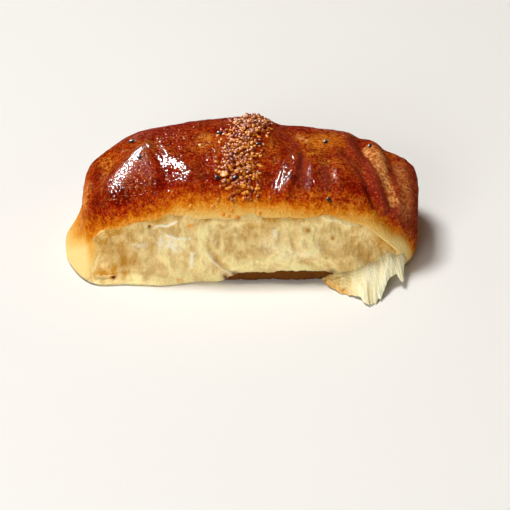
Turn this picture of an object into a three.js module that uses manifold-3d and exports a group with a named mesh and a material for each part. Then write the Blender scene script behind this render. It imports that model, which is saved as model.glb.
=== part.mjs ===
// A glazed bread roll that was pulled off its neighbour in the tray: a long domed loaf with a baked crust,
// a torn crumb face along the front, a torn skin hanging at the front right, and a band of seeds over the crown.
// Millimetres, +Z up. +X runs along the roll, -Y is the torn face, and the base rests at z = 0.
import * as THREE from "three";
import { mergeVertices } from "three/addons/utils/BufferGeometryUtils.js";
import Module from "manifold-3d";

const wasm = await Module();
wasm.setup();

// Driving dimensions of the loaf.
const LENGTH = 170;
const DEPTH = 86;
const HEIGHT = 57;
const PLAN_POWER = 3.4; // roundness of the plan: 2 is an ellipse, higher is boxier
const RIGHT_FOOT_POWER = 4.2; // and that of its right end near the base
const CROWN_POWER = 2.35; // roundness of the dome
const BASE_POWER = 13; // roundness of the lower edge
const BASE_SINK = 0.8; // how deep the rounded underside is cut off flat
const FOOT_FLARE = 9.1; // how far the pale left foot spreads past the plain end
const FOOT_LIP = 4.8; // how far the foot of the torn face spreads forwards at the left
const SHOULDER = 1.5; // how far the left shoulder stands out of the plain end
const FRAME_SHIFT = new THREE.Vector3(0, 12.6, 0); // from the loaf's own middle to the middle of its box

// The oblique height that the relief on the front and crown is laid out by: height up a plane that
// faces a viewer looking down at the roll's front.
const SIGHT_TILT = THREE.MathUtils.degToRad(33);
const SIGHT = new THREE.Vector3(0, -Math.cos(SIGHT_TILT), Math.sin(SIGHT_TILT));

// The torn face: an arch that rises to TEAR_CREST at the middle and dies out at TEAR_REACH.
const TEAR_REACH = 82;
const TEAR_CREST = 37;
const TEAR_POWER = 5;
const TEAR_STEP = 1.3; // how far the torn crumb lies behind the skin above it
const CRUMB_RELIEF = 0.85;

// The base stands clear of the table under the middle of the torn face.
const ARCH = { from: -6, to: 46, height: 5, inward: 24 };

const GRID = [42, 15, 13]; // steps along, across and up the loaf

// Seeds.
const SEED_COUNT = 165;
const SESAME = { length: 2.7, width: 1.7, thickness: 1.0 };
const NIGELLA = { length: 3.0, width: 1.9, thickness: 1.6 };
const SEED_PROUD = 0.27; // how far a seed's middle stands above the crust
const CORE_HEIGHT = 14; // height of the line that the seed band is wrapped around

const mix = THREE.MathUtils.lerp;
const smooth = (low, high, value) => THREE.MathUtils.smoothstep(value, low, high);
const bell = (distance) => Math.exp(-distance * distance);
const norm = (a, b, power) => (Math.abs(a) ** power + Math.abs(b) ** power) ** (1 / power);
const obliqueHeight = (p) => p.z * Math.cos(SIGHT_TILT) + (p.y + DEPTH / 2) * Math.sin(SIGHT_TILT);

// Swells of the crust. x and up place each on the front and crown, up being the oblique height.
const SWELLS = [
  { x: -47, up: 58, width: 12, tall: 14, rise: 1.9 }, // left shoulder
  { x: -26, up: 53, width: 8, tall: 11, rise: 1.0 }, // its lesser neighbour
  { x: 21, up: 54, width: 5, tall: 13, rise: 1.5 }, // three flutes on the right shoulder
  { x: 34, up: 51, width: 4.5, tall: 10, rise: 1.2 },
  { x: 46, up: 52, width: 5.5, tall: 12, rise: 1.4 },
  { x: 68, up: 58, width: 6, tall: 12, rise: 1.8 }, // rolled ends of the fold on the right
  { x: 81, up: 48, width: 6, tall: 15, rise: 1.8 },
];

// Billows and hollows of the torn face.
const CRUMB_SWELLS = [
  { x: 64, up: 16, width: 10, tall: 6, rise: -3.2 }, // hollow behind the hanging skin
  { x: 28, up: 14, width: 15, tall: 9, rise: 1.6 },
  { x: 3, up: 22, width: 7, tall: 6, rise: -1.6 },
  { x: -18, up: 16, width: 12, tall: 9, rise: 1.4 },
  { x: -43, up: 15, width: 3.5, tall: 16, rise: -1.6 }, // crease between two billows
  { x: -61, up: 14, width: 9, tall: 8, rise: -1.2 },
];

// Creases of the crust, as lines in the same two measures, with their width and depth. A ridge has a depth below 0.
const CREASES = [
  { width: 5.5, depth: -1.6, line: [[-45.7, 66.3], [-51.9, 60.1], [-60.6, 48.2], [-66.4, 40]] },
  { width: 4.5, depth: -1.2, line: [[-35.4, 59.2], [-30, 56.3], [-24.3, 53.5]] },
  { width: 3, depth: 1.5, line: [[-42, 68], [-38, 60], [-36, 52], [-35, 44]] },
  { width: 3, depth: 2.0, line: [[-63, 64], [-68, 52], [-70, 40], [-70, 26]] },
  { width: 3, depth: 1.8, line: [[52, 64], [58, 57], [63, 44], [67, 33], [75, 24]] },
  { width: 2.8, depth: 2.2, line: [[58, 72], [64, 61], [69, 51], [72.5, 42], [75, 32]] },
  { width: 2.8, depth: 1.7, line: [[71, 64], [75, 55], [78, 44], [80, 30]] },
];

// Humps and dips along the crown's skyline, which run over the crown and down the back.
const SKYLINE = [
  { x: 5, width: 12, rise: 2.6 }, // hump under the seeds
  { x: 22, width: 6, rise: -2.0 }, // the step beside it
  { x: 38, width: 16, rise: -1.6 },
  { x: 61, width: 3.5, rise: -2.0 },
  { x: 74, width: 3.8, rise: -4.0 },
  { x: 84, width: 9, rise: -5.0 },
  { x: -68, width: 12, rise: -2.2 },
];

function distanceToLine(x, up, line) {
  let nearest = Infinity;
  for (let i = 0; i + 1 < line.length; i++) {
    const [ax, au] = line[i];
    const [bx, bu] = line[i + 1];
    const along = THREE.MathUtils.clamp(
      ((x - ax) * (bx - ax) + (up - au) * (bu - au)) / ((bx - ax) ** 2 + (bu - au) ** 2), 0, 1);
    nearest = Math.min(nearest, Math.hypot(x - mix(ax, bx, along), up - mix(au, bu, along)));
  }
  return nearest;
}

// Height of the torn face's upper edge above the base.
function tearEdge(x) {
  const waver = 0.7 * Math.sin(x / 6.1 + 0.7) + 0.5 * Math.sin(x / 2.9);
  return TEAR_CREST * (1 - Math.abs(x / TEAR_REACH) ** TEAR_POWER) + waver;
}

// 1 on the torn crumb, 0 on the skin, from a point and the way the surface faces there.
function tornShare(p, normal) {
  const below = 1 - smooth(-1.5, 1.5, p.z - tearEdge(p.x));
  return below * smooth(0.25, 0.6, -normal.y) * (1 - smooth(TEAR_REACH - 9, TEAR_REACH - 3, Math.abs(p.x)));
}

// Lumps and hollows of torn crumb, from waves of unlike lengths.
function crumbLumps(p) {
  return 0.55 * Math.sin(p.x / 4.3 + 1.7 * Math.sin(p.z / 7.9)) * Math.sin(p.z / 3.6 + 0.9)
    + 0.45 * Math.sin(p.x / 8.7 - p.z / 6.1 + 2.1)
    + 0.3 * Math.sin(p.x / 2.3 + p.z / 3.1);
}

// Gentle unevenness of the whole loaf.
function doughLumps(p) {
  return 0.5 * Math.sin(p.x / 13 + 0.6) * Math.sin(p.y / 11 + 0.4)
    + 0.35 * Math.sin(p.x / 7.7 - p.y / 9.3 + p.z / 8.1);
}

// A point of the cube from -1 to 1 carried to the plain loaf, before its relief.
function loafPoint(q) {
  const reach = Math.max(Math.abs(q.x), Math.abs(q.y), 1e-9);
  const planPower = q.x < 0 ? PLAN_POWER : mix(RIGHT_FOOT_POWER, PLAN_POWER, smooth(-0.6, 0.2, q.z));
  const plan = Math.max(1, norm(q.x / reach, q.y / reach, planPower));
  const section = mix(BASE_POWER, CROWN_POWER, smooth(-0.45, 0.35, q.z));
  const size = norm(reach, q.z, section);
  const p = new THREE.Vector3(
    (q.x * LENGTH) / (2 * plan * size),
    (q.y * DEPTH) / (2 * plan * size),
    ((q.z / size + 1) * (HEIGHT + BASE_SINK)) / 2 - BASE_SINK,
  );
  const end = p.x / (LENGTH / 2);
  const high = smooth(0.1, 0.75, p.z / HEIGHT);
  if (p.x < 0) p.x *= 1 - (0.05 + 0.06 * high) * end * end; // the left end leans in as it rises
  else p.x *= 1 + 0.03 * end * end; // the right end stays full
  p.z *= 1 - (p.x < 0 ? 0.1 : 0.13) * high * Math.abs(end) ** 1.6; // the crown falls towards both ends
  const beside = smooth(-DEPTH * 0.45, -DEPTH * 0.2, p.y) * (1 - smooth(-DEPTH * 0.05, DEPTH * 0.22, p.y));
  p.x -= smooth(0.6, 1, -end) * (FOOT_FLARE * bell(p.z / 10) * beside + SHOULDER * bell((p.z - 31) / 7));
  const lip = FOOT_LIP * smooth(0.2, 0.5, -end) * bell(p.z / 6) * smooth(DEPTH * 0.15, DEPTH * 0.4, -p.y);
  p.y -= lip * (1 + 1.6 * bell((end + 0.87) / 0.15));
  p.x -= 0.6 * lip * smooth(0.6, 0.9, -end);
  return p;
}

function skylineRise(p) {
  const weight = smooth(0.5, 0.85, p.z / HEIGHT) * smooth(-28, 8, p.y);
  return weight * SKYLINE.reduce((sum, s) => sum + s.rise * bell((p.x - s.x) / s.width), 0);
}

// How far the surface stands out from the plain loaf at p.
function relief(p, normal) {
  const up = obliqueHeight(p);
  const seen = smooth(-0.1, 0.35, normal.dot(SIGHT));
  const swell = (s) => s.rise * bell((p.x - s.x) / s.width) * bell((up - s.up) / s.tall);
  const crease = (c) => c.depth * bell(distanceToLine(p.x, up, c.line) / c.width);
  const total = (list, height) => list.reduce((sum, item) => sum + height(item), 0);
  const crust = seen * (total(SWELLS, swell) - total(CREASES, crease)) + doughLumps(p);
  const crumb = total(CRUMB_SWELLS, swell) + CRUMB_RELIEF * crumbLumps(p) - TEAR_STEP;
  return mix(crust, crumb, tornShare(p, normal));
}

// How far the base stands off the table at p.
function archLift(p) {
  const across = smooth(ARCH.from - 6, ARCH.from + 6, p.x) * (1 - smooth(ARCH.to - 6, ARCH.to + 6, p.x));
  const front = smooth(0, ARCH.inward, -p.y - DEPTH / 2 + ARCH.inward);
  return ARCH.height * across * front * (1 - smooth(0, 22, p.z));
}

function merged(geometry) {
  geometry.deleteAttribute("normal");
  geometry.deleteAttribute("uv");
  return mergeVertices(geometry, 1e-4);
}

// The loaf: a cube's grid carried to the loaf, then pushed in and out along its normals.
function loafGeometry() {
  const geometry = merged(new THREE.BoxGeometry(2, 2, 2, ...GRID));
  const spots = geometry.getAttribute("position");
  const p = new THREE.Vector3();
  for (let i = 0; i < spots.count; i++) {
    p.copy(loafPoint(p.fromBufferAttribute(spots, i)));
    spots.setXYZ(i, p.x, p.y, p.z);
  }
  geometry.computeVertexNormals();
  const normals = geometry.getAttribute("normal");
  const normal = new THREE.Vector3();
  for (let i = 0; i < spots.count; i++) {
    p.fromBufferAttribute(spots, i);
    normal.fromBufferAttribute(normals, i);
    const rise = skylineRise(p);
    p.addScaledVector(normal, relief(p, normal) * smooth(0, 6, p.z)); // nothing moves at the table
    p.z += rise + archLift(p);
    spots.setXYZ(i, p.x, p.y, p.z);
  }
  geometry.deleteAttribute("normal");
  return geometry;
}

// The torn skin: a thin wavy sheet that leaves the foot of the front face at the right and droops to the table.
const SKIN = {
  thickness: 1.3,
  arch: 2.2,
  root: [[42, -35, 3], [52, -35.5, 5], [61, -34, 8], [70, -30, 11], [76, -22, 11]],
  rim: [
    [39, -42, 1.4], [41, -47, 1.2], [48, -53, 1.2], [56, -57, 2.2], [61.5, -69, 1.0],
    [65.5, -57, 2.2], [69.5, -50, 4.6], [74, -46, 6.2], [77.5, -48, 4.6], [79, -36, 9],
  ],
};

function skinGeometry() {
  const curve = (points) => new THREE.CatmullRomCurve3(points.map((p) => new THREE.Vector3(...p)));
  const root = curve(SKIN.root);
  const rim = curve(SKIN.rim);
  const middle = (u, v) => {
    const p = root.getPoint(u).lerp(rim.getPoint(u), v);
    p.z += SKIN.arch * Math.sin(Math.PI * v) * (0.4 + u) + 0.5 * v * Math.sin(u * 19);
    return p;
  };
  const geometry = merged(new THREE.BoxGeometry(1, 1, 1, 20, 7, 1));
  const spots = geometry.getAttribute("position");
  const step = 0.01;
  for (let i = 0; i < spots.count; i++) {
    const u = THREE.MathUtils.clamp(spots.getX(i) + 0.5, step, 1 - step);
    const v = THREE.MathUtils.clamp(0.5 - spots.getY(i), step, 1 - step);
    const along = middle(u + step, v).sub(middle(u - step, v));
    const across = middle(u, v - step).sub(middle(u, v + step));
    const normal = along.cross(across).normalize();
    const p = middle(u, v).addScaledVector(normal, spots.getZ(i) * SKIN.thickness);
    spots.setXYZ(i, p.x, p.y, p.z);
  }
  return geometry;
}

// What lies below the table's surface, to cut the base flat.
function belowTable() {
  const size = 2 * LENGTH;
  return merged(new THREE.BoxGeometry(size, size, size).translate(0, 0, -size / 2));
}

// A number from 0 to 1 that spreads evenly as index grows.
function halton(index, base) {
  let share = 1;
  let value = 0;
  for (let i = index; i > 0; i = Math.floor(i / base)) {
    share /= base;
    value += share * (i % base);
  }
  return value;
}

// One seed: a small faceted drop, narrower towards +Y, with its thickness along Z.
function seedGeometry(size) {
  const geometry = merged(new THREE.SphereGeometry(0.5, 6, 2).rotateX(Math.PI / 2));
  const spots = geometry.getAttribute("position");
  for (let i = 0; i < spots.count; i++) {
    const girth = 1.15 - 0.4 * smooth(-0.5, 0.5, spots.getY(i));
    spots.setXYZ(i, spots.getX(i) * girth * size.width, spots.getY(i) * size.length, spots.getZ(i) * size.thickness);
  }
  return geometry;
}

// Where each seed lies: wrapped round the loaf's core line, densest along the middle of the band.
function seedPlaces(loaf) {
  const caster = new THREE.Raycaster();
  const places = [];
  for (let i = 1; i <= SEED_COUNT; i++) {
    const around = THREE.MathUtils.degToRad(mix(32, 112, halton(i, 2)));
    const spread = halton(i, 3) * 2 - 1;
    const middle = mix(-3, 8, halton(i, 2));
    const x = middle + 10.5 * spread * (0.55 + 0.45 * Math.abs(spread));
    const ray = new THREE.Vector3(0, -Math.cos(around), Math.sin(around));
    const core = new THREE.Vector3(x, 0, CORE_HEIGHT);
    caster.set(core.clone().addScaledVector(ray, DEPTH), ray.clone().negate());
    const hit = caster.intersectObject(loaf)[0];
    places.push({ point: hit.point, normal: hit.face.normal, turn: halton(i, 5) * Math.PI, dark: i % 14 === 5 });
  }
  return places;
}

function solid(geometry) {
  return new wasm.Manifold(new wasm.Mesh({
    numProp: 3,
    vertProperties: new Float32Array(geometry.getAttribute("position").array),
    triVerts: new Uint32Array(geometry.index.array),
  }));
}

// The outer skin alone: hollows that fusing has sealed are filled, and loose scraps are dropped.
function outerSkin(manifold) {
  return manifold.decompose().reduce((best, body) => (body.volume() > best.volume() ? body : best));
}

function geometryOf(manifold) {
  const mesh = manifold.getMesh();
  return new THREE.BufferGeometry()
    .setAttribute("position", new THREE.BufferAttribute(mesh.vertProperties, 3))
    .setIndex(new THREE.BufferAttribute(mesh.triVerts, 1));
}

function breadRoll() {
  const loaf = loafGeometry();
  let roll = solid(loaf).add(solid(skinGeometry())).subtract(solid(belowTable()));
  for (const place of seedPlaces(new THREE.Mesh(loaf))) {
    const seed = seedGeometry(place.dark ? NIGELLA : SESAME);
    const lie = new THREE.Quaternion().setFromUnitVectors(new THREE.Vector3(0, 0, 1), place.normal);
    const turn = new THREE.Quaternion().setFromAxisAngle(new THREE.Vector3(0, 0, 1), place.turn);
    seed.applyMatrix4(new THREE.Matrix4().compose(
      place.point.clone().addScaledVector(place.normal, SEED_PROUD), lie.multiply(turn), new THREE.Vector3(1, 1, 1)));
    roll = roll.add(solid(seed));
  }
  const crust = new THREE.MeshStandardMaterial({ color: 0x9a3a17, roughness: 0.35, metalness: 0 });
  const mesh = new THREE.Mesh(geometryOf(outerSkin(roll)), crust);
  mesh.name = "bread_roll";
  mesh.position.copy(FRAME_SHIFT);
  return mesh;
}

const group = new THREE.Group();
group.add(breadRoll());

export default group;
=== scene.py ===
"""Dresses the bread roll: a glazed crust, a torn crumb face, a torn skin and seeds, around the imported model.

Sizes are in millimetres in the dataclasses and become metres when a mesh is made. +X runs along the roll,
-Y is the torn face and +Z is up. The loaf's own frame has y = 0 at its middle. Marks on the front and the crown are
laid out by x and by oblique height, which is the height up a plane that faces a viewer who looks down at the roll.
"""

from __future__ import annotations

import logging
import math
import random
from collections.abc import Iterable, Sequence
from dataclasses import dataclass, field
from enum import Enum

import bmesh
import bpy
import numpy as np
from mathutils import Matrix, Quaternion, Vector, noise
from mathutils.bvhtree import BVHTree


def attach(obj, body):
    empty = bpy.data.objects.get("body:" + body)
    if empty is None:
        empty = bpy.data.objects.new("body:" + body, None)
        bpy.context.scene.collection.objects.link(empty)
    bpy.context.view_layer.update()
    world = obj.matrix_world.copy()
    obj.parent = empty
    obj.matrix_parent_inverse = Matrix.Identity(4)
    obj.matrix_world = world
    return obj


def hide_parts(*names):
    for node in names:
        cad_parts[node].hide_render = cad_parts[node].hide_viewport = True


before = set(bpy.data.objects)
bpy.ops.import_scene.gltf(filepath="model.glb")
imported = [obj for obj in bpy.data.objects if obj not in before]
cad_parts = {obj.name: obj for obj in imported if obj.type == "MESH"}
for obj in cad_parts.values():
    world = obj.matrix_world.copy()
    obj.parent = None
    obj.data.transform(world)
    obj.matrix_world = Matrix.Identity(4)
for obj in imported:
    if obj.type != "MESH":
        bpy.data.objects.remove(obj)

log = logging.getLogger("bread_roll")

MM = 0.001
BODY = "root"
NODE = "bread_roll"
RANDOM_SEED = 7
EYE_DISTANCE = 820.0
TINY = 1e-6
Line = tuple[tuple[float, float], ...]
Span = tuple[float, float]


def smooth(low: float, high: float, value: np.ndarray | float) -> np.ndarray:
    """Returns 0 below low, 1 above high and a smooth step between them."""
    share = np.clip((np.asarray(value, float) - low) / (high - low), 0.0, 1.0)
    return share * share * (3.0 - 2.0 * share)


def bell(distance: np.ndarray | float) -> np.ndarray:
    """Returns a bell that is 1 at distance 0 and a third at distance 1."""
    return np.exp(-np.square(distance))


def mix(low: np.ndarray | float, high: np.ndarray | float, share: np.ndarray | float) -> np.ndarray:
    """Returns low at share 0, high at share 1 and a straight blend between them."""
    return low + (high - low) * share


def norm(a: np.ndarray, b: np.ndarray, power: np.ndarray | float) -> np.ndarray:
    """Returns the length of (a, b) in the superellipse's measure of that power."""
    return (np.abs(a) ** power + np.abs(b) ** power) ** (1.0 / power)


def distance_to_line(x: np.ndarray, up: np.ndarray, line: Line) -> np.ndarray:
    """Measures how far points lie from a broken line.

    Args:
        x: The points' places along the roll.
        up: The points' oblique heights.
        line: The line's corners, each as (x, up).

    Returns:
        The distance of each point from the nearest stretch of the line.
    """
    nearest = np.full(np.shape(x), np.inf)
    for (ax, au), (bx, bu) in zip(line, line[1:]):
        span = (bx - ax) ** 2 + (bu - au) ** 2
        along = np.clip(((x - ax) * (bx - ax) + (up - au) * (bu - au)) / span, 0.0, 1.0)
        nearest = np.minimum(nearest, np.hypot(x - mix(ax, bx, along), up - mix(au, bu, along)))
    return nearest


def lumps(points: np.ndarray, size: float | Sequence[float], octaves: int = 1, start: float = 0.0) -> np.ndarray:
    """Makes smooth lumpy noise.

    Args:
        points: The points, as rows of x, y and z.
        size: The width of a lump, the same all ways or one for each axis.
        octaves: How many finer layers the noise has.
        start: Where in the noise to start, so that two layers differ.

    Returns:
        A value from about -1 to 1 for each point.
    """
    spots = (points / np.asarray(size, float) + start).tolist()
    if octaves == 1:
        return np.array([noise.noise(spot) for spot in spots])
    return np.array([noise.fractal(spot, 1.0, 2.0, octaves) for spot in spots])


@dataclass(frozen=True)
class Unevenness:
    """One layer of smooth lumpy noise over a surface."""

    height: float
    size: float | tuple[float, float, float]
    octaves: int = 1
    start: float = 0.0

    def at(self, points: np.ndarray) -> np.ndarray:
        """Returns how far the layer stands out at each point."""
        return self.height * lumps(points, self.size, self.octaves, self.start)


def linear(hex_colour: str) -> tuple[float, float, float, float]:
    """Turns a hex sRGB colour to a linear one.

    Args:
        hex_colour: The colour, such as "#C8A060".

    Returns:
        Linear red, green and blue, and an alpha of 1.
    """
    parts = [int(hex_colour[i : i + 2], 16) / 255 for i in (1, 3, 5)]
    straight = [c / 12.92 if c <= 0.04045 else ((c + 0.055) / 1.055) ** 2.4 for c in parts]
    return (*straight, 1.0)


def add_node(
    tree: bpy.types.NodeTree,
    kind: str,
    settings: dict[str, object] | None = None,
    inputs: dict[str | int, object] | None = None,
    stops: Sequence[tuple[float, str]] = (),
) -> bpy.types.Node:
    """Adds one node with its settings and links.

    Args:
        tree: The node tree that gets it.
        kind: The node's type, without its leading "ShaderNode".
        settings: The node's own properties.
        inputs: Values for its sockets by name or number, or the output socket that feeds each.
        stops: A colour ramp's places and hex colours.

    Returns:
        The new node.
    """
    node = tree.nodes.new("ShaderNode" + kind)
    for name, value in (settings or {}).items():
        setattr(node, name, value)
    for key, value in (inputs or {}).items():
        if isinstance(value, bpy.types.NodeSocket):
            tree.links.new(value, node.inputs[key])
        else:
            node.inputs[key].default_value = value
    for index, (place, colour) in enumerate(stops):
        ramp = node.color_ramp.elements
        stop = ramp[index] if index < 2 else ramp.new(place)
        stop.position = place
        stop.color = linear(colour)
    return node


def fresh_material(name: str) -> tuple[bpy.types.Material, bpy.types.NodeTree, bpy.types.Node]:
    """Starts a material.

    Args:
        name: What the material is.

    Returns:
        The material, its node tree and the tree's shader.
    """
    material = bpy.data.materials.new(name)
    material.use_nodes = True
    return material, material.node_tree, material.node_tree.nodes["Principled BSDF"]


class MixSocket(Enum):
    """Numbers of the Mix node's colour sockets, whose names repeat."""

    SHARE = 0
    FIRST = 6
    SECOND = 7
    RESULT = 2


def ragged(patch: np.ndarray, p: np.ndarray, size: float, start: float) -> np.ndarray:
    """Breaks up a soft patch.

    Args:
        patch: How strong the patch is at each point, from 0 to 1.
        p: The points, as rows of x, y and z.
        size: The width of the breaks.
        start: Where in the noise to start.

    Returns:
        The patch with torn-looking edges and gaps.
    """
    return patch * smooth(-0.5, 0.5, patch - 0.45 + 0.8 * lumps(p, size, 3, start))


@dataclass(frozen=True)
class Swell:
    """A soft hump, or a hollow where rise is below 0, laid out by x and oblique height."""

    x: float
    up: float
    width: float
    tall: float
    rise: float

    def height(self, x: np.ndarray, up: np.ndarray) -> np.ndarray:
        """Returns how far the hump stands out at each point."""
        return self.rise * bell((x - self.x) / self.width) * bell((up - self.up) / self.tall)


@dataclass(frozen=True)
class Crease:
    """A furrow along a line, or a thin ridge where depth is below 0."""

    width: float
    depth: float
    line: Line

    def height(self, x: np.ndarray, up: np.ndarray) -> np.ndarray:
        """Returns how far the surface stands out at each point."""
        return -self.depth * bell(distance_to_line(x, up, self.line) / self.width)


def stacked(marks: Iterable[Swell | Crease], x: np.ndarray, up: np.ndarray) -> np.ndarray:
    """Returns the heights of all the marks together at each point."""
    return sum(mark.height(x, up) for mark in marks)


@dataclass(frozen=True)
class LoafForm:
    """The loaf's plain form and its main relief."""

    length: float = 170.0
    depth: float = 86.0
    height: float = 57.0
    plan_power: float = 3.4
    right_foot_power: float = 4.2
    crown_power: float = 2.35
    base_power: float = 13.0
    base_sink: float = 0.8
    foot_flare: float = 9.1
    foot_lip: float = 4.8
    shoulder: float = 1.5
    shift_y: float = 12.6
    sight_tilt: float = math.radians(33)
    tear_reach: float = 82.0
    tear_crest: float = 37.0
    tear_power: float = 5.0
    tear_step: float = 1.3
    arch_from: float = -6.0
    arch_to: float = 46.0
    arch_height: float = 5.0
    arch_inward: float = 24.0
    left_lobe: float = 4.2
    swells: tuple[Swell, ...] = (
        Swell(-47, 58, 12, 14, 1.9),
        Swell(-26, 53, 8, 11, 1.0),
        Swell(21, 54, 5, 13, 1.5),
        Swell(34, 51, 4.5, 10, 1.2),
        Swell(46, 52, 5.5, 12, 1.4),
        Swell(68, 58, 6, 12, 1.8),
        Swell(81, 48, 6, 15, 1.8),
    )
    creases: tuple[Crease, ...] = (
        Crease(5.5, -1.6, ((-45.7, 66.3), (-51.9, 60.1), (-60.6, 48.2), (-66.4, 40))),
        Crease(4.5, -1.2, ((-35.4, 59.2), (-30, 56.3), (-24.3, 53.5))),
        Crease(3, 1.5, ((-42, 68), (-38, 60), (-36, 52), (-35, 44))),
        Crease(3, 2.0, ((-63, 64), (-68, 52), (-70, 40), (-70, 26))),
        Crease(3, 1.8, ((52, 64), (58, 57), (63, 44), (67, 33), (75, 24))),
        Crease(2.8, 1.8, ((59.8, 74.5), (62.3, 67.5), (65, 59.5), (68.4, 52), (71.4, 45), (73.6, 35))),
        Crease(2.8, 1.1, ((73, 66), (77, 57), (79.5, 45), (81, 30))),
    )
    crumb_swells: tuple[Swell, ...] = (
        Swell(64, 16, 10, 6, -3.2),
        Swell(28, 14, 15, 9, 1.6),
        Swell(3, 22, 7, 6, -1.6),
        Swell(-18, 16, 12, 9, 1.4),
        Swell(-43, 15, 3.5, 16, -1.6),
        Swell(-61, 14, 9, 8, -1.2),
    )
    skyline: tuple[tuple[float, float, float], ...] = (
        (5, 12, 2.6),
        (-20, 20, 1.1),
        (22, 6, -1.5),
        (38, 16, -1.8),
        (61, 3.5, -2.0),
        (74, 3.8, -4.0),
        (84, 9, -5.0),
        (-68, 12, -2.2),
    )

    @property
    def sight(self) -> np.ndarray:
        """The way from the roll to a viewer who looks down at its front."""
        return np.array([0.0, -math.cos(self.sight_tilt), math.sin(self.sight_tilt)])

    def oblique(self, p: np.ndarray) -> np.ndarray:
        """Returns the height of each point, once it has its lift, up a plane that faces the viewer."""
        z = p[:, 2] + self.skyline_rise(p) + self.arch_lift(p)
        return z * math.cos(self.sight_tilt) + (p[:, 1] + self.depth / 2) * math.sin(self.sight_tilt)

    def tear_edge(self, x: np.ndarray) -> np.ndarray:
        """Returns the height of the torn face's upper edge above the base."""
        waver = 0.7 * np.sin(x / 6.1 + 0.7) + 0.5 * np.sin(x / 2.9)
        return self.tear_crest * (1 - np.abs(x / self.tear_reach) ** self.tear_power) + waver

    def plain(self, cube: np.ndarray) -> np.ndarray:
        """Carries points of the cube from -1 to 1 to the plain loaf.

        Args:
            cube: The points, as rows of x, y and z.

        Returns:
            The points on the loaf, before its relief.
        """
        reach = np.maximum(np.maximum(np.abs(cube[:, 0]), np.abs(cube[:, 1])), 1e-9)
        right_power = mix(self.right_foot_power, self.plan_power, smooth(-0.6, 0.2, cube[:, 2]))
        plan_power = np.where(cube[:, 0] < 0, self.plan_power, right_power)
        plan = np.maximum(1.0, norm(cube[:, 0] / reach, cube[:, 1] / reach, plan_power))
        section = mix(self.base_power, self.crown_power, smooth(-0.45, 0.35, cube[:, 2]))
        size = norm(reach, cube[:, 2], section)
        x = cube[:, 0] * self.length / (2 * plan * size)
        y = cube[:, 1] * self.depth / (2 * plan * size)
        z = (cube[:, 2] / size + 1) * (self.height + self.base_sink) / 2 - self.base_sink
        end = x / (self.length / 2)
        high = smooth(0.1, 0.75, z / self.height)
        x = x * np.where(x < 0, 1 - (0.05 + 0.06 * high) * end**2, 1 + 0.03 * end**2)
        z = z * (1 - np.where(end < 0, 0.1, 0.13) * high * np.abs(end) ** 1.6)
        beside = smooth(-0.45, -0.2, y / self.depth) * (1 - smooth(-0.05, 0.22, y / self.depth))
        x = x - smooth(0.6, 1, -end) * (self.foot_flare * bell(z / 10) * beside + self.shoulder * bell((z - 31) / 7))
        lip = self.foot_lip * smooth(0.2, 0.5, -end) * bell(z / 6) * smooth(0.15, 0.4, -y / self.depth)
        y = y - lip * (1 + 1.6 * bell((end + 0.87) / 0.15))
        x = x - 0.6 * lip * smooth(0.6, 0.9, -end)
        return np.column_stack([x, y, z])

    def dough(self, p: np.ndarray) -> np.ndarray:
        """Returns the gentle unevenness of the whole loaf."""
        x, y, z = p.T
        return 0.5 * np.sin(x / 13 + 0.6) * np.sin(y / 11 + 0.4) + 0.35 * np.sin(x / 7.7 - y / 9.3 + z / 8.1)

    def crumb(self, p: np.ndarray) -> np.ndarray:
        """Works out the lumps and hollows of torn crumb.

        Args:
            p: The points, as rows of x, y and z.

        Returns:
            How far the crumb stands out at each point, from about -1 to 1.
        """
        x, _, z = p.T
        waves = 0.55 * np.sin(x / 4.3 + 1.7 * np.sin(z / 7.9)) * np.sin(z / 3.6 + 0.9)
        return waves + 0.45 * np.sin(x / 8.7 - z / 6.1 + 2.1) + 0.3 * np.sin(x / 2.3 + z / 3.1)

    def skyline_rise(self, p: np.ndarray) -> np.ndarray:
        """Returns how far the crown's humps and dips lift each point."""
        weight = smooth(0.5, 0.85, p[:, 2] / self.height) * smooth(-28, 8, p[:, 1])
        return weight * sum(rise * bell((p[:, 0] - x) / width) for x, width, rise in self.skyline)

    def arch_lift(self, p: np.ndarray) -> np.ndarray:
        """Works out the arch under the front's middle.

        Args:
            p: The points, as rows of x, y and z.

        Returns:
            How far each point is lifted off the table.
        """
        x, y, z = p.T
        across = smooth(self.arch_from - 6, self.arch_from + 6, x) * (1 - smooth(self.arch_to - 6, self.arch_to + 6, x))
        front = smooth(0, self.arch_inward, -y - self.depth / 2 + self.arch_inward)
        return self.arch_height * across * front * (1 - smooth(0, 22, z))

    def torn_share(self, p: np.ndarray, normal: np.ndarray, band: float, beyond: float) -> np.ndarray:
        """Says where the torn face is.

        Args:
            p: The points, as rows of x, y and z.
            normal: The way that the plain loaf faces at each point.
            band: How wide the change from skin to crumb is on each side of its middle.
            beyond: How far that middle lies outside the tear's edge.

        Returns:
            1 on the torn face and 0 on the skin.
        """
        below = 1 - smooth(-band, band, p[:, 2] - self.tear_edge(p[:, 0]) - beyond)
        lobe = self.left_lobe * bell((p[:, 2] - 15) / 10) * smooth(0, -40, p[:, 0])
        side = 1 - smooth(self.tear_reach - 9, self.tear_reach - 3, np.abs(p[:, 0]) - 2 * beyond + lobe)
        lip = 0.35 * (1 - smooth(4, 9, p[:, 2])) * smooth(-0.5, -0.1, normal[:, 2])
        return below * smooth(0.25, 0.6, -normal[:, 1] + 0.1 * beyond + lip) * side

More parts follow.
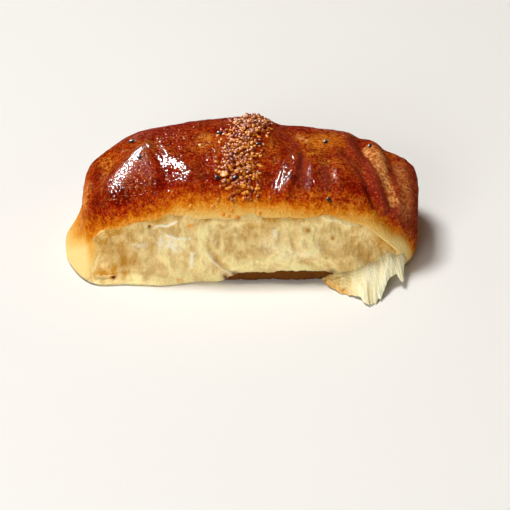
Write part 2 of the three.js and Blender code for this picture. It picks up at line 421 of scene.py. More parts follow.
    def settle(
        self, p: np.ndarray, normal: np.ndarray, relief: np.ndarray, sag: np.ndarray | float = 0.0
    ) -> np.ndarray:
        """Adds a relief to the plain loaf and stands it on the table.

        Args:
            p: The plain loaf's points.
            normal: The way that it faces at each of them.
            relief: How far each point moves along its normal.
            sag: The share of the base's arch that each point loses.

        Returns:
            The finished points.
        """
        lift = self.skyline_rise(p) + self.arch_lift(p) * (1 - sag)
        done = p + normal * relief[:, None]
        done[:, 2] = np.maximum(done[:, 2] + lift, 0.0)
        return done


@dataclass(frozen=True)
class EggWashedCrust:
    """Yeast dough brushed with egg and baked: mahogany and glossy on top, golden to cream where it pulled apart.

    The egg film gives small sharp glints, because it has dried over round blisters about a millimetre wide.
    """

    name: str = "egg_washed_crust"
    bake_stops: tuple[tuple[float, str], ...] = (
        (0.00, "#F0D28A"),
        (0.14, "#EDBC62"),
        (0.24, "#E29A38"),
        (0.30, "#D87E16"),
        (0.38, "#C05E0A"),
        (0.46, "#AA3A04"),
        (0.56, "#921E03"),
        (0.68, "#7C0F03"),
        (0.82, "#620A03"),
        (1.00, "#460603"),
    )
    gold_colour: str = "#E08A28"
    # Pale freckles, partly the thin crust's own colour and partly painted glints.
    freckle_glint_colour: str = "#D86A34"
    char_colour: str = "#4A0803"
    rough_light: str = "#ECA664"
    rough_dark: str = "#B05E26"
    # Painted shade laid along the deepest creases.
    crease_shade_colour: str = "#5E0E06"
    # Painted reflection: the smooth creases get this dull purplish colour in place of the soft sheen that they would
    # reflect.
    sleek_sheen_colour: str = "#842E20"
    # The base skin's brown, darkened so that it also serves as painted shade in the strip under the front arch.
    base_colour: str = "#6E4018"
    mottle: float = 3.6
    dapple: float = 1.7
    blister: float = 1.25
    blister_height: float = 0.17
    freckle: float = 0.95
    # Real crust has a finer grain, which is drawn this coarse so that it shows.
    grain: float = 0.7
    ior: float = 1.5
    roughness: float = 0.6
    film_roughness: float = 0.06

    def make(self) -> bpy.types.Material:
        """Builds the material.

        Returns:
            The new material, which reads the crust mesh's shares of bake, gold, rough crust, painted crease shade,
            sleek creases with their painted sheen, gloss, and base skin darkened as painted shade.
        """
        material, tree, shader = fresh_material(self.name)
        place = add_node(tree, "TexCoord").outputs["Object"]
        read = {
            name: add_node(tree, "Attribute", {"attribute_name": name}).outputs["Fac"]
            for name in ("bake", "gold", "rough", "crease_shade", "sleek_sheen", "gloss", "base")
        }
        patchy, dappled, blistered, grainy = (
            add_node(
                tree, "TexNoise", inputs={"Vector": place, "Scale": 1 / (size * MM), "Detail": 3.0, "Roughness": 0.6}
            )
            for size in (self.mottle, self.dapple, self.blister, self.grain)
        )
        # Clouds and blisters make the bake uneven, the more the darker it is.
        browned = add_node(tree, "MapRange", inputs={"Value": read["bake"], "From Min": 0.12, "From Max": 0.5})
        wide = add_node(tree, "Math", {"operation": "MULTIPLY_ADD"}, {0: patchy.outputs["Fac"], 1: 0.75, 2: -0.375})
        uneven = add_node(
            tree, "Math", {"operation": "MULTIPLY_ADD"}, {0: blistered.outputs["Fac"], 1: 0.6, 2: wide.outputs[0]}
        )
        centred = add_node(tree, "Math", {"operation": "SUBTRACT"}, {0: uneven.outputs[0], 1: 0.3})
        level = add_node(
            tree,
            "Math",
            {"operation": "MULTIPLY_ADD"},
            {0: centred.outputs[0], 1: browned.outputs[0], 2: read["bake"]},
        )
        colour = add_node(tree, "ValToRGB", inputs={"Fac": level.outputs[0]}, stops=self.bake_stops).outputs["Color"]
        # Blisters and blotches turn gold where the skin stretched.
        domes = add_node(
            tree,
            "TexVoronoi",
            {"feature": "SMOOTH_F1"},
            {"Vector": place, "Scale": 1 / (self.blister * MM), "Smoothness": 0.15, "Randomness": 1.0},
        ).outputs["Distance"]
        dot = add_node(tree, "MapRange", inputs={"Value": domes, "From Min": 0.4, "From Max": 0.1}).outputs[0]
        blotch = add_node(
            tree,
            "MapRange",
            {},
            {"Value": dappled.outputs["Fac"], "From Min": 0.42, "From Max": 0.62, "To Min": -0.1, "To Max": 0.85},
        )
        dotted = add_node(
            tree,
            "Math",
            {"operation": "MULTIPLY_ADD", "use_clamp": True},
            {0: dot, 1: 0.6, 2: blotch.outputs[0]},
        )
        gilt = add_node(tree, "Math", {"operation": "MULTIPLY"}, {0: dotted.outputs[0], 1: read["gold"]})
        # Each freckle is pale, charred or neither. The pale ones are partly painted glints: small highlights laid as
        # colour.
        spots = add_node(
            tree, "TexVoronoi", inputs={"Vector": place, "Scale": 1 / (self.freckle * MM), "Randomness": 1.0}
        )
        round_spot = add_node(
            tree, "MapRange", inputs={"Value": spots.outputs["Distance"], "From Min": 0.62, "From Max": 0.3}
        )
        spot = add_node(tree, "Math", {"operation": "MULTIPLY"}, {0: round_spot.outputs[0], 1: browned.outputs[0]})
        chance = spots.outputs["Color"]
        pale = add_node(tree, "MapRange", {}, {"Value": chance, "From Min": 0.55, "From Max": 0.75, "To Max": 0.5})
        dark = add_node(tree, "MapRange", {}, {"Value": chance, "From Min": 0.42, "From Max": 0.28, "To Max": 0.6})
        freckle_glints = add_node(tree, "Math", {"operation": "MULTIPLY"}, {0: spot.outputs[0], 1: pale.outputs[0]})
        charred = add_node(tree, "Math", {"operation": "MULTIPLY"}, {0: spot.outputs[0], 1: dark.outputs[0]})
        patch = add_node(tree, "MapRange", inputs={"Value": dappled.outputs["Fac"], "From Min": 0.4, "From Max": 0.6})
        matt = add_node(
            tree,
            "Mix",
            {"data_type": "RGBA"},
            {
                MixSocket.SHARE.value: patch.outputs[0],
                MixSocket.FIRST.value: linear(self.rough_dark),
                MixSocket.SECOND.value: linear(self.rough_light),
            },
        ).outputs[MixSocket.RESULT.value]
        # Each layer lies over those before it.
        layers = (
            (gilt.outputs[0], linear(self.gold_colour)),
            (charred.outputs[0], linear(self.char_colour)),
            (read["sleek_sheen"], linear(self.sleek_sheen_colour)),
            (freckle_glints.outputs[0], linear(self.freckle_glint_colour)),
            (read["rough"], matt),
            (read["crease_shade"], linear(self.crease_shade_colour)),
            (read["base"], linear(self.base_colour)),
        )
        for share, over in layers:
            inputs = {MixSocket.SHARE.value: share, MixSocket.FIRST.value: colour, MixSocket.SECOND.value: over}
            colour = add_node(tree, "Mix", {"data_type": "RGBA"}, inputs).outputs[MixSocket.RESULT.value]
        # The blisters stand up in round domes, less so in the sleek creases.
        square = add_node(tree, "Math", {"operation": "MULTIPLY"}, {0: domes, 1: domes})
        rounded = add_node(tree, "Math", {"operation": "MULTIPLY"}, {0: square.outputs[0], 1: -2.0})
        height = add_node(
            tree, "Math", {"operation": "MULTIPLY_ADD"}, {0: grainy.outputs["Fac"], 1: 0.3, 2: rounded.outputs[0]}
        )
        strength = add_node(tree, "MapRange", inputs={"Value": read["sleek_sheen"], "To Min": 1.0, "To Max": 0.25})
        # A thin egg film shines on single freckles, and a thick one all over.
        shiny = add_node(tree, "MapRange", {}, {"Value": chance, "From Min": 0.46, "From Max": 0.6, "To Min": 0.1})
        spread = add_node(
            tree,
            "MapRange",
            inputs={"Value": read["gloss"], "From Min": 0.6, "To Min": shiny.outputs[0], "To Max": 1.0},
        )
        film_and_sheen = add_node(tree, "Math", {"operation": "MULTIPLY"}, {0: read["gloss"], 1: spread.outputs[0]})
        bump = add_node(
            tree,
            "Bump",
            inputs={"Height": height.outputs[0], "Strength": strength.outputs[0], "Distance": self.blister_height * MM},
        )
        tree.links.new(colour, shader.inputs["Base Color"])
        tree.links.new(film_and_sheen.outputs[0], shader.inputs["Coat Weight"])
        tree.links.new(bump.outputs["Normal"], shader.inputs["Normal"])
        tree.links.new(bump.outputs["Normal"], shader.inputs["Coat Normal"])
        shader.inputs["IOR"].default_value = self.ior
        shader.inputs["Roughness"].default_value = self.roughness
        shader.inputs["Specular IOR Level"].default_value = 0.0
        shader.inputs["Coat Roughness"].default_value = self.film_roughness
        return material


@dataclass(frozen=True)
class TornCrumb:
    """The open crumb of a white yeast dough, pulled apart: matt, soft and a little see-through."""

    name: str = "torn_crumb"
    crumb_colour: str = "#FFECAE"
    # The tan also lays painted shade: darker in the crumb's hollows and where it stands back, lighter where it stands
    # out.
    hollow_colour: str = "#C28B2E"
    # The film's whitish colour, which on the torn skin also lays a painted sheen on the pleats.
    film_and_sheen_colour: str = "#FFFAE8"
    stain_colour: str = "#E4920E"
    speck_colour: str = "#6A1C0C"
    grain: float = 0.9
    # Real threads of gluten are finer, and are drawn this coarse so that they show.
    thread: float = 0.6
    dent: float = 0.5
    roughness: float = 0.8
    see_through: float = 0.5
    scatter: float = 2.2
    scatter_colours: tuple[float, float, float] = (1.0, 0.65, 0.3)

    def make(self) -> bpy.types.Material:
        """Builds the material.

        Returns:
            The new material, which reads the crumb mesh's shares of tan with painted light and shade, of film with a
            painted sheen on the torn skin, of stain and of speck.
        """
        material, tree, shader = fresh_material(self.name)
        place = add_node(tree, "TexCoord").outputs["Object"]
        read = {
            name: add_node(tree, "Attribute", {"attribute_name": name}).outputs["Fac"]
            for name in ("hollow", "film_and_sheen", "stain", "speck")
        }
        drawn = add_node(tree, "VectorMath", {"operation": "MULTIPLY"}, {0: place, 1: (1.0, 1.0, 0.4)}).outputs[0]
        cloudy, thready = (
            add_node(
                tree, "TexNoise", inputs={"Vector": where, "Scale": 1 / (size * MM), "Detail": 3.0, "Roughness": 0.6}
            )
            for where, size in ((place, self.grain), (drawn, self.thread))
        )
        clouds, threads = (
            add_node(
                tree,
                "MapRange",
                {},
                {"Value": layer.outputs["Fac"], "From Min": 0.32, "From Max": 0.68, "To Min": -swing, "To Max": swing},
            )
            for layer, swing in ((cloudy, 0.1), (thready, 0.07))
        )
        fine = add_node(tree, "Math", {"operation": "ADD"}, {0: clouds.outputs[0], 1: threads.outputs[0]}).outputs[0]
        shade = add_node(tree, "Math", {"operation": "ADD"}, {0: read["hollow"], 1: fine}).outputs[0]
        colour: bpy.types.NodeSocket | tuple = linear(self.crumb_colour)
        layers = (
            (shade, self.hollow_colour),
            (read["film_and_sheen"], self.film_and_sheen_colour),
            (read["stain"], self.stain_colour),
            (read["speck"], self.speck_colour),
        )
        for share, over in layers:
            inputs = {MixSocket.SHARE.value: share, MixSocket.FIRST.value: colour, MixSocket.SECOND.value: linear(over)}
            colour = add_node(tree, "Mix", {"data_type": "RGBA"}, inputs).outputs[MixSocket.RESULT.value]
        dents = {"Height": fine, "Strength": 1.0, "Distance": self.dent * MM}
        bump = add_node(tree, "Bump", {"invert": True}, dents).outputs["Normal"]
        tree.links.new(colour, shader.inputs["Base Color"])
        tree.links.new(bump, shader.inputs["Normal"])
        shader.inputs["Roughness"].default_value = self.roughness
        shader.inputs["Specular IOR Level"].default_value = 0.0
        shader.inputs["Subsurface Weight"].default_value = self.see_through
        shader.inputs["Subsurface Radius"].default_value = self.scatter_colours
        shader.inputs["Subsurface Scale"].default_value = self.scatter * MM
        return material


@dataclass(frozen=True)
class SeedCoat:
    """The coat of a toasted seed: hard, satin and slightly oily, and each seed its own shade."""

    name: str
    stops: tuple[tuple[float, str], ...]
    roughness: float
    shine: float = 0.5
    # The coat's net is finer in a real seed, and is drawn this coarse so that it shows.
    grain: float = 0.5
    grain_height: float = 0.1

    def make(self) -> bpy.types.Material:
        """Builds the material.

        Returns:
            The new material, which reads the seed mesh's tone attribute.
        """
        material, tree, shader = fresh_material(self.name)
        place = add_node(tree, "TexCoord").outputs["Object"]
        tone = add_node(tree, "Attribute", {"attribute_name": "tone"}).outputs["Fac"]
        grain = add_node(
            tree, "TexNoise", inputs={"Vector": place, "Scale": 1 / (self.grain * MM), "Detail": 2.0}
        ).outputs["Fac"]
        uneven = add_node(
            tree, "MapRange", inputs={"Value": grain, "From Min": 0.3, "From Max": 0.7, "To Min": -0.12, "To Max": 0.12}
        ).outputs["Result"]
        shade = add_node(tree, "Math", {"operation": "ADD"}, {0: tone, 1: uneven}).outputs[0]
        colour = add_node(tree, "ValToRGB", inputs={"Fac": shade}, stops=self.stops).outputs["Color"]
        dents = {"Height": grain, "Strength": 0.3, "Distance": self.grain_height * MM}
        bump = add_node(tree, "Bump", {}, dents).outputs["Normal"]
        tree.links.new(colour, shader.inputs["Base Color"])
        tree.links.new(bump, shader.inputs["Normal"])
        shader.inputs["Roughness"].default_value = self.roughness
        shader.inputs["Specular IOR Level"].default_value = self.shine
        return material


def finished(
    name: str,
    shape: bmesh.types.BMesh,
    material: bpy.types.Material,
    shift_y: float,
) -> bpy.types.Object:
    """Turns a bmesh in millimetres into a piece of the roll.

    Args:
        name: The piece's name.
        shape: The bmesh, in the loaf's own frame. It is freed.
        material: The piece's finish.
        shift_y: From the loaf's own middle to the frame's origin.

    Returns:
        The new object, riding on the roll's body.
    """
    bmesh.ops.translate(shape, verts=shape.verts, vec=(0, shift_y, 0))
    bmesh.ops.scale(shape, verts=shape.verts, vec=(MM, MM, MM))
    for face in shape.faces:
        face.smooth = True
    mesh = bpy.data.meshes.new(name)
    shape.to_mesh(mesh)
    shape.free()
    mesh.materials.append(material)
    piece = bpy.data.objects.new(name, mesh)
    bpy.context.scene.collection.objects.link(piece)
    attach(piece, BODY)
    log.info("%s: %d faces", name, len(mesh.polygons))
    return piece


def coordinates(shape: bmesh.types.BMesh) -> np.ndarray:
    """Returns the places of a bmesh's vertices as rows."""
    return np.array([vert.co[:] for vert in shape.verts])


def normals(shape: bmesh.types.BMesh) -> np.ndarray:
    """Returns the way that each vertex of a bmesh faces, as rows."""
    shape.normal_update()
    return np.array([vert.normal[:] for vert in shape.verts])


def move_to(shape: bmesh.types.BMesh, places: np.ndarray) -> None:
    """Moves each vertex of a bmesh to its row of places."""
    for vert, place in zip(shape.verts, places.tolist()):
        vert.co = place


def write_layer(shape: bmesh.types.BMesh, name: str, values: np.ndarray) -> None:
    """Keeps one number for each vertex.

    Args:
        shape: The bmesh.
        name: The name under which a material reads the numbers.
        values: The numbers, which are kept within 0 and 1.
    """
    layer = shape.verts.layers.float.new(name)
    for vert, value in zip(shape.verts, np.clip(values, 0.0, 1.0).tolist()):
        vert[layer] = value


@dataclass
class Crust:
    """The whole loaf in its baked skin, sunk in where the torn crumb covers it."""

    loaf: LoafForm
    finish: EggWashedCrust
    steps: tuple[int, int, int] = (236, 100, 70)
    tuck: float = 4.5
    tuck_band: float = 0.8
    beyond: float = -0.9
    foot: Span = (0, 6)
    base_sag: float = 0.95
    base_tuck: float = 0.7
    sag_waver: Unevenness = Unevenness(0.3, 5.0, 3, 9.5)
    sag_heights: Span = (3, 9)
    sag_lifts: Span = (1, 4)
    base_crumbs: Unevenness = Unevenness(0.6, 2.6, 2, 9.1)
    blisters: tuple[Unevenness, ...] = (Unevenness(0.3, 7.0, 2), Unevenness(0.06, 2.4, 1, 8.1))
    facing: Span = (-0.1, 0.35)
    fine_creases: tuple[Crease, ...] = (
        Crease(0.8, -0.55, ((-44.6, 66.5), (-41.5, 64), (-38.9, 61), (-36.4, 55.5))),
        Crease(1.5, 0.9, ((-73, 58), (-71.5, 45), (-70, 30))),
        Crease(1.9, -1.3, ((27.6, 63), (26.2, 55), (23.2, 47), (20.5, 41))),
        Crease(2.2, 1.0, ((31, 62), (30.4, 54), (29.5, 46))),
        Crease(2.6, 1.1, ((42, 56), (42.5, 50), (43.5, 44))),
        Crease(1.0, 1.0, ((60.5, 45), (62.3, 41), (64, 36))),
        Crease(0.6, -0.35, ((53.8, 60.5), (56.5, 57), (59.7, 53.3))),
        Crease(1.4, -0.6, ((60.5, 53.3), (64, 46.8), (67, 41))),
    )
    fine_swells: tuple[Swell, ...] = (Swell(-65, 50, 7, 13, 1.1), Swell(-50, 56, 4, 5, 0.4))
    bake_edge: Line = (
        (-90, 22), (-80, 24.5), (-74, 30), (-68, 26.5), (-54.3, 29.8), (-39.3, 33.7), (-29.6, 37.8), (-12.1, 37.5),
        (4.4, 37.8), (16, 36.4), (29.6, 34.6), (46.6, 34.0), (60.1, 32.2), (66.9, 29.2), (73.7, 23.3), (78.6, 19.4),
        (90, 6),
    )
    side_edges: tuple[float, float, float] = (11.0, 9.0, 3.0)
    side_ends: Span = (55, 80)
    front_reach: Span = (-34, -16)
    bake_curve: Line = (
        (-8, 0), (-4, 0.16), (-1.5, 0.24), (0.5, 0.3), (2.5, 0.38), (5, 0.46), (8.5, 0.56), (13, 0.68), (20, 0.72),
        (36, 0.64),
    )
    browned: Span = (0.3, 0.5)
    bake_patches: tuple[Swell, ...] = (
        Swell(-78, 42, 3.8, 17, -0.42),
        Swell(-73.5, 19, 2.6, 8, 0.22),
        Swell(-82.5, 15, 5, 9, -0.16),
        Swell(-62, 63, 7, 4, -0.12),
        Swell(78, 16, 7, 8, -0.26),
        Swell(69, 50, 7, 14, -0.19),
        Swell(53, 56, 7, 11, -0.14),
        Swell(-71, 44, 3, 12, -0.08),
        Swell(82, 44, 4, 12, -0.1),
        Swell(-14, 70, 12, 4, -0.1),
        Swell(41, 71, 14, 5, -0.25),
        Swell(-56, 41, 7, 5, 0.14),
        Swell(30, 48, 14, 6, 0.05),
    )
    rough_bands: tuple[Crease, ...] = (
        Crease(2.0, 1.3, ((63.3, 67.2), (66.3, 58.1), (69.6, 51.1), (72.4, 44.8), (74.6, 38.5))),
        Crease(3.0, 0.75, ((65.5, 66), (68.2, 62), (70.5, 57.5))),
        Crease(1.3, 0.75, ((28.5, 72.6), (32.5, 70.8))),
    )
    rough_cover: Span = (0.1, 0.7)
    speckle: Unevenness = Unevenness(0.8, 1.8, 2, 3.7)
    speckle_ground: float = 0.75
    speckle_most: float = 1.2
    speckled_cover: float = 0.6
    speckled_bands: tuple[Crease, ...] = (
        Crease(2.8, 0.9, ((77.5, 57), (79, 50), (79.8, 42), (80, 32))),
        Crease(2.2, 0.95, ((-75.5, 49), (-77.5, 40), (-79.5, 28))),
        Crease(1.6, 0.5, ((-67.7, 54), (-67.5, 47))),
        Crease(0.5, 0.8, ((54.5, 60.5), (57, 57), (60, 53.5))),
    )
    # Painted shade along the deepest creases and in the valley between the left humps.
    crease_shades: tuple[Crease, ...] = (
        Crease(1.9, 0.32, ((-70.8, 57), (-71, 46), (-71.6, 40))),
        Crease(1.4, 0.3, ((-71.6, 40), (-73.5, 32))),
        Crease(1.1, 0.85, ((60, 46), (62.3, 41), (64.2, 36))),
        Crease(2.5, 0.4, ((-39.5, 60), (-37, 53))),
    )
    # Smooth creases: their blisters are lower, they have no egg-film gloss, and they are painted purplish as a painted
    # reflection.
    sleek_sheen_bands: tuple[Crease, ...] = (
        Crease(2.6, 0.95, ((29.5, 61), (28.8, 48.5))),
        Crease(2.3, 0.95, ((40.6, 55), (40.3, 45.5))),
        Crease(1.8, 0.6, ((17, 76), (23, 71), (28, 67))),
        Crease(2.8, 0.85, ((55, 72), (60, 61.6), (64.5, 52), (68, 42), (70, 34))),
        Crease(3.0, 0.5, ((52, 64), (56, 54), (61, 46))),
        Crease(2.0, 0.7, ((73.6, 55.5), (74, 45), (75, 33))),
        Crease(2.4, 0.75, ((82.5, 56), (83.5, 46), (83.5, 30))),
        Crease(4.0, 0.5, ((78, 34), (80, 24))),
    )
    sleek_sheen_most: float = 0.95
    gold_patches: tuple[Swell, ...] = (
        Swell(30.4, 71, 3.0, 1.3, 1.6),
        Swell(38, 68.5, 9, 3.2, 1.3),
        Swell(37, 63, 9, 3.0, 0.8),
        Swell(43, 73.5, 10, 2.5, 0.9),
        Swell(38, 53, 12, 4, 0.3),
        Swell(-22, 60, 9, 7, 0.12),
        Swell(-48, 66, 14, 5, 0.45),
        Swell(41, 57.6, 5.5, 1.8, 1.1),
        Swell(15, 66, 5, 6, 0.6),
        Swell(-17, 71.5, 6, 3, 0.9),
        Swell(-21, 66.5, 5, 2, 0.6),
        Swell(-13, 66, 4, 5, 0.5),
        Swell(-78, 42, 4, 16, 0.8),
        Swell(-63, 61, 7, 5, 0.8),
        Swell(-66, 57, 3, 6, 0.6),
        Swell(69, 65, 7, 4, 1.0),
        Swell(82, 42, 4, 14, 0.5),
        Swell(52, 38, 8, 3, 0.9),
        Swell(80, 20, 5, 6, 0.5),
        Swell(35, 42, 10, 2.5, 0.6),
    )
    gold_ground: float = 0.14
    gold_least: float = 0.6
    clouds: Unevenness = Unevenness(1.0, 9.0, 2, 6.6)
    cloud_edge: Span = (-0.45, 0.35)
    underside: Span = (0.7, 0.95)
    under_lifts: Span = (0.4, 2.0)
    under_heights: Span = (8, 14)
    glazes: tuple[Crease | Swell, ...] = (
        Crease(2.2, -1.1, ((-44.6, 66.2), (-48.2, 62.6), (-52.4, 57.4), (-56.6, 51.6), (-60.4, 45.2))),
        Crease(0.9, -1.0, ((-44.6, 66.5), (-41.5, 64), (-38.9, 61), (-36.4, 56))),
        Crease(3.0, -1.0, ((-34.5, 60), (-29.5, 56.3), (-24.8, 53.2), (-28.6, 50.4))),
        Crease(1.6, -1.2, ((23.6, 65.5), (24.4, 58.5))),
        Crease(2.1, -1.3, ((21.6, 58.7), (21.4, 54.3), (19.6, 50), (17.2, 45.2))),
        Swell(-50, 50, 9, 11, -0.02),
        Swell(35.2, 49.5, 2.0, 4, 0.25),
        Swell(46.6, 50, 2.8, 4.5, 0.2),
        Swell(-74, 38, 6, 22, -0.6),
        Swell(-66, 62, 7, 6, -0.3),
        Swell(-52, 69, 9, 2.5, -0.2),
        Swell(72, 50, 14, 30, -0.1),
        Swell(13.5, 56, 3.5, 12, -0.25),
        Swell(-34, 46, 6, 4, 0.1),
    )
    glaze_ground: float = 0.15
    glaze_bake: Span = (0.26, 0.5)
    glaze_behind: float = 0.5
    behind: Unevenness = Unevenness(1.0, 14.0, 2, 2.9)
    behind_edge: Span = (0, 0.5)
    gaps: Unevenness = Unevenness(1.0, 1.7, 1, 4.9)
    gap_edge: Span = (-0.45, -0.1)
    gap_glaze: float = 0.25
    sleek_sheen_edge: Span = (0.05, 0.45)

    def bake_depth(self, p: np.ndarray) -> np.ndarray:
        """Measures how deep in the browned skin each point lies.

        Args:
            p: The plain loaf's points, as rows of x, y and z.

        Returns:
            How far each point lies above the edge between pale and browned skin, in millimetres.
        """
        x, y, z = p.T
        front = self.loaf.oblique(p) - np.interp(x, *zip(*self.bake_edge))
        left, back, right = self.side_edges
        side = mix(mix(back, left, smooth(*self.side_ends, -x)), right, smooth(*self.side_ends, x))
        return mix(z - side, front, 1 - smooth(*self.front_reach, y))

    def bake(self, p: np.ndarray) -> np.ndarray:
        """Returns how dark each point is baked, from 0 for pale skin up to 1."""
        return np.interp(self.bake_depth(p), *zip(*self.bake_curve))

    def seen(self, normal: np.ndarray) -> np.ndarray:
        """Returns 1 where the loaf faces the viewer and 0 where it faces away."""
        return smooth(*self.facing, normal @ self.loaf.sight)

    def sag(self, p: np.ndarray) -> np.ndarray:
        """Returns the share of the base's arch that the dark skin behind the crumb's foot loses."""
        return np.clip((self.base_sag + self.sag_waver.at(p)) * (1 - smooth(*self.sag_heights, p[:, 2])), 0.0, 1.0)

    def relief(self, p: np.ndarray, normal: np.ndarray, sag: np.ndarray) -> np.ndarray:
        """Works out the crust's relief.

        Args:
            p: The plain loaf's points, as rows of x, y and z.
            normal: The way that it faces at each of them.
            sag: The share of the base's arch that each point loses.

        Returns:
            How far each point moves along its normal.
        """
        x, up = p[:, 0], self.loaf.oblique(p)
        marks = self.loaf.swells + self.loaf.creases + self.fine_creases + self.fine_swells
        blisters = sum(layer.at(p) for layer in self.blisters) * smooth(*self.browned, self.bake(p))
        skin = self.seen(normal) * stacked(marks, x, up) + self.loaf.dough(p) + blisters
        tuck = self.tuck - (self.tuck - self.base_tuck) * sag * smooth(*self.sag_lifts, self.loaf.arch_lift(p))
        behind_crumb = stacked(self.loaf.crumb_swells, x, up) - tuck + self.base_crumbs.at(p) * sag
        torn = self.loaf.torn_share(p, normal, self.tuck_band, self.beyond)
        return skin * smooth(*self.foot, p[:, 2]) * (1 - torn) + behind_crumb * torn

    def paint(self, shape: bmesh.types.BMesh, p: np.ndarray, normal: np.ndarray) -> None:
        """Writes the layers that the finish reads.

        Args:
            shape: The crust's bmesh.
            p: The plain loaf's points, as rows of x, y and z.
            normal: The way that it faces at each of them.
        """
        x, up = p[:, 0], self.loaf.oblique(p)
        seen, bake = self.seen(normal), self.bake(p)
        write_layer(shape, "bake", bake + seen * stacked(self.bake_patches, x, up))
        speckle = np.clip(self.speckle_ground + self.speckle.at(p), 0, self.speckle_most)
        rough = np.clip(-stacked(self.rough_bands, x, up), 0, 1)
        speckled = self.speckled_cover * speckle * np.clip(-stacked(self.speckled_bands, x, up), 0, 1)
        write_layer(shape, "rough", seen * np.maximum(smooth(*self.rough_cover, rough * speckle), speckled))
        # Painted shade in the creases.
        write_layer(shape, "crease_shade", seen * -stacked(self.crease_shades, x, up))
        # The smooth creases' share, which also lays their painted reflection.
        sleek_sheen = np.clip(seen * (1 - rough) * -stacked(self.sleek_sheen_bands, x, up), 0, self.sleek_sheen_most)
        write_layer(shape, "sleek_sheen", sleek_sheen)
        clouds = smooth(*self.cloud_edge, self.clouds.at(p))
        gilt = seen * mix(self.gold_least, 1.0, clouds) * stacked(self.gold_patches, x, up)
        write_layer(shape, "gold", (self.gold_ground * clouds + gilt) * smooth(*self.browned, bake))
        # The underside, and the skin under the front arch, which is painted this dark brown as a painted shadow beneath
        # the crumb's foot.
        under = smooth(*self.under_lifts, self.loaf.arch_lift(p)) * (1 - smooth(*self.under_heights, p[:, 2]))
        base = np.maximum(smooth(*self.underside, -normal[:, 2]), under)
        write_layer(shape, "base", base)
        behind = self.glaze_behind * (1 - seen) * smooth(*self.behind_edge, self.behind.at(p))
        glaze = np.clip(self.glaze_ground + behind + seen * stacked(self.glazes, x, up), 0, 1)
        glaze = glaze * mix(self.gap_glaze, 1.0, smooth(*self.gap_edge, self.gaps.at(p)))
        bare = np.maximum(rough, np.maximum(base, self.sleek_sheen_most * smooth(*self.sleek_sheen_edge, sleek_sheen)))
        write_layer(shape, "gloss", glaze * smooth(*self.glaze_bake, bake) * (1 - bare))

    def build(self) -> tuple[bpy.types.Object, BVHTree]:
        """Makes the crust.

        Returns:
            The piece, and a search tree of its surface in the loaf's own frame.
        """
        shape = bmesh.new()
        bmesh.ops.create_cube(shape, size=2.0)
        for axis, steps in enumerate(self.steps):
            along = [e for e in shape.edges if abs((e.verts[0].co - e.verts[1].co)[axis]) > TINY]
            bmesh.ops.subdivide_edges(shape, edges=along, cuts=steps - 1, use_grid_fill=True)
        p = self.loaf.plain(coordinates(shape))
        move_to(shape, p)
        normal = normals(shape)
        self.paint(shape, p, normal)
        sag = self.sag(p)
        move_to(shape, self.loaf.settle(p, normal, self.relief(p, normal, sag), sag))
        surface = BVHTree.FromBMesh(shape)
        piece = finished("roll_crust", shape, self.finish.make(), self.loaf.shift_y)
        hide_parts(NODE)
        return piece, surface


